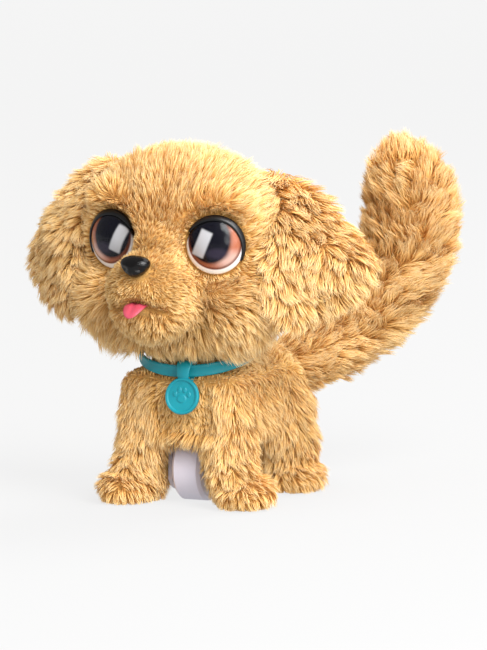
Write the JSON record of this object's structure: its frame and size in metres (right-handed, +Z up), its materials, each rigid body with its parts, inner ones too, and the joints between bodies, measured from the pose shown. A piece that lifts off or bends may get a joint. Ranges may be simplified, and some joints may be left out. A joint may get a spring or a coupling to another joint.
{
  "type": "interactive plush pet",
  "caption": "Standing long-fur toy puppy with a turning, nodding head, floppy ears, wagging tail, collar tag and a motor driven wheel between its front legs.",
  "frame": {"origin": "on the floor, at the centre of the whole pet's footprint", "axes": "+Z up, the pet faces -Y and +X is its left side"},
  "size_m": [0.2318, 0.2933, 0.221],
  "materials": {
    "fur": "long pile plush",
    "filling": "polyester wadding",
    "chassis_plastic": "moulded, fine texture",
    "skull_plastic": "moulded",
    "wheel_plastic": "satin",
    "gear_plastic": "natural acetal",
    "steel": "bright",
    "motor_steel": "plated can",
    "cell": "wrapped",
    "contact": "nickel plated",
    "board": "solder mask",
    "lead": "insulated wire",
    "speaker": "paper cone and frame",
    "button": "moulded",
    "eye_print": "printed",
    "eye_lens": "clear",
    "eyelid": "black",
    "nose": "black",
    "tongue": "soft vinyl",
    "collar": "soft vinyl, satin",
    "door_plastic": "moulded"
  },
  "bodies": {
    "chassis": {"chassis_lower": "chassis_plastic", "chassis_upper": "chassis_plastic", "case_screws": "steel", "leg_screws": "steel", "battery_cells": "cell", "battery_contacts": "contact", "circuit_board": "board", "body_cover": "fur", "collar": "collar", "wheel_axle": "steel", "idler_pin": "steel", "axle_spacers": "gear_plastic", "drive_motor": "motor_steel", "tail_motor": "motor_steel", "tail_pin": "steel", "motor_leads": "lead", "battery_leads": "lead", "front_leg_left": "fur", "front_leg_right": "fur", "rear_leg_left": "fur", "rear_leg_right": "fur", "front_leg_core_left": "chassis_plastic", "front_leg_core_right": "chassis_plastic", "rear_leg_core_left": "chassis_plastic", "rear_leg_core_right": "chassis_plastic"},
    "wheel": {"drive_wheel": "wheel_plastic", "wheel_gear": "gear_plastic"},
    "idler": {"idler_gear": "gear_plastic"},
    "pinion": {"motor_pinion": "gear_plastic"},
    "neck": {"neck_post": "skull_plastic"},
    "head": {"head_cover": "fur", "skull_front": "skull_plastic", "skull_back": "skull_plastic", "nod_pin": "steel", "speaker": "speaker", "eye_left": "eye_print", "eye_right": "eye_print", "eye_lens_left": "eye_lens", "eye_lens_right": "eye_lens", "eyelid_left": "eyelid", "eyelid_right": "eyelid", "nose": "nose", "tongue": "tongue"},
    "ear_l": {"ear_left": "fur"},
    "ear_r": {"ear_right": "fur"},
    "tail": {"tail_cover": "fur", "tail_filling": "filling", "tail_hub": "skull_plastic", "tail_armature": "skull_plastic"},
    "tail_drive": {"tail_pinion": "gear_plastic"},
    "tag": {"pet_tag": "collar"},
    "button": {"touch_button": "button"},
    "switch": {"power_switch": "button"},
    "door": {"battery_door": "door_plastic", "battery_door_screw": "steel"}
  },
  "joints": [
    {"name": "wheel_spin", "type": "hinge", "parent": "chassis", "child": "wheel", "pos_m": [0, -0.043, 0.021], "axis": [1, 0, 0], "continuous": true},
    {"name": "idler_spin", "type": "hinge", "parent": "chassis", "child": "idler", "pos_m": [0, -0.043, 0.0418], "axis": [1, 0, 0], "continuous": true},
    {"name": "motor_spin", "type": "hinge", "parent": "chassis", "child": "pinion", "pos_m": [0, -0.0514, 0.05635], "axis": [1, 0, 0], "continuous": true},
    {"name": "head_turn", "type": "hinge", "parent": "chassis", "child": "neck", "pos_m": [0, -0.048, 0.078], "axis": [0, 0, 1], "range_deg": [-20, 20]},
    {"name": "head_nod", "type": "hinge", "parent": "neck", "child": "head", "pos_m": [0, -0.052, 0.132], "axis": [1, 0, 0], "range_deg": [-8, 6], "stiffness_Nm_per_rad": 2},
    {"name": "ear_left_flap", "type": "hinge", "parent": "head", "child": "ear_l", "pos_m": [0.072, -0.03, 0.2], "axis": [-0.4384, -0.8988, 0], "range_deg": [0, 45], "stiffness_Nm_per_rad": 0.3},
    {"name": "ear_right_flap", "type": "hinge", "parent": "head", "child": "ear_r", "pos_m": [-0.072, -0.03, 0.2], "axis": [-0.4384, 0.8988, 0], "range_deg": [0, 45], "stiffness_Nm_per_rad": 0.3},
    {"name": "tail_wag", "type": "hinge", "parent": "chassis", "child": "tail", "pos_m": [0, 0.031, 0.071], "axis": [0, 0, 1], "range_deg": [-6, 80], "stiffness_Nm_per_rad": 0.5},
    {"name": "tail_pinion_spin", "type": "hinge", "parent": "chassis", "child": "tail_drive", "pos_m": [0, 0.015, 0.071], "axis": [0, 0, 1], "range_deg": [-240, 18]},
    {"name": "tag_swing", "type": "hinge", "parent": "chassis", "child": "tag", "pos_m": [0, -0.07533, 0.08437], "axis": [-1, 0, 0], "range_deg": [0, 60]},
    {"name": "touch_button_press", "type": "slide", "parent": "chassis", "child": "button", "axis": [0, 0, -1], "range_m": [0, 0.0015], "stiffness_N_per_m": 400},
    {"name": "power_switch_slide", "type": "slide", "parent": "chassis", "child": "switch", "axis": [0, 1, 0], "range_m": [0, 0.004]},
    {"name": "battery_door_lift", "type": "slide", "parent": "chassis", "child": "door", "axis": [0, 0, -1], "range_m": [0, 0.006]}
  ],
  "couplings": [
    {"joint": "idler_spin", "follows": "wheel_spin", "ratio": -3.3333},
    {"joint": "motor_spin", "follows": "wheel_spin", "ratio": 10.667},
    {"joint": "tail_pinion_spin", "follows": "tail_wag", "ratio": -3}
  ]
}
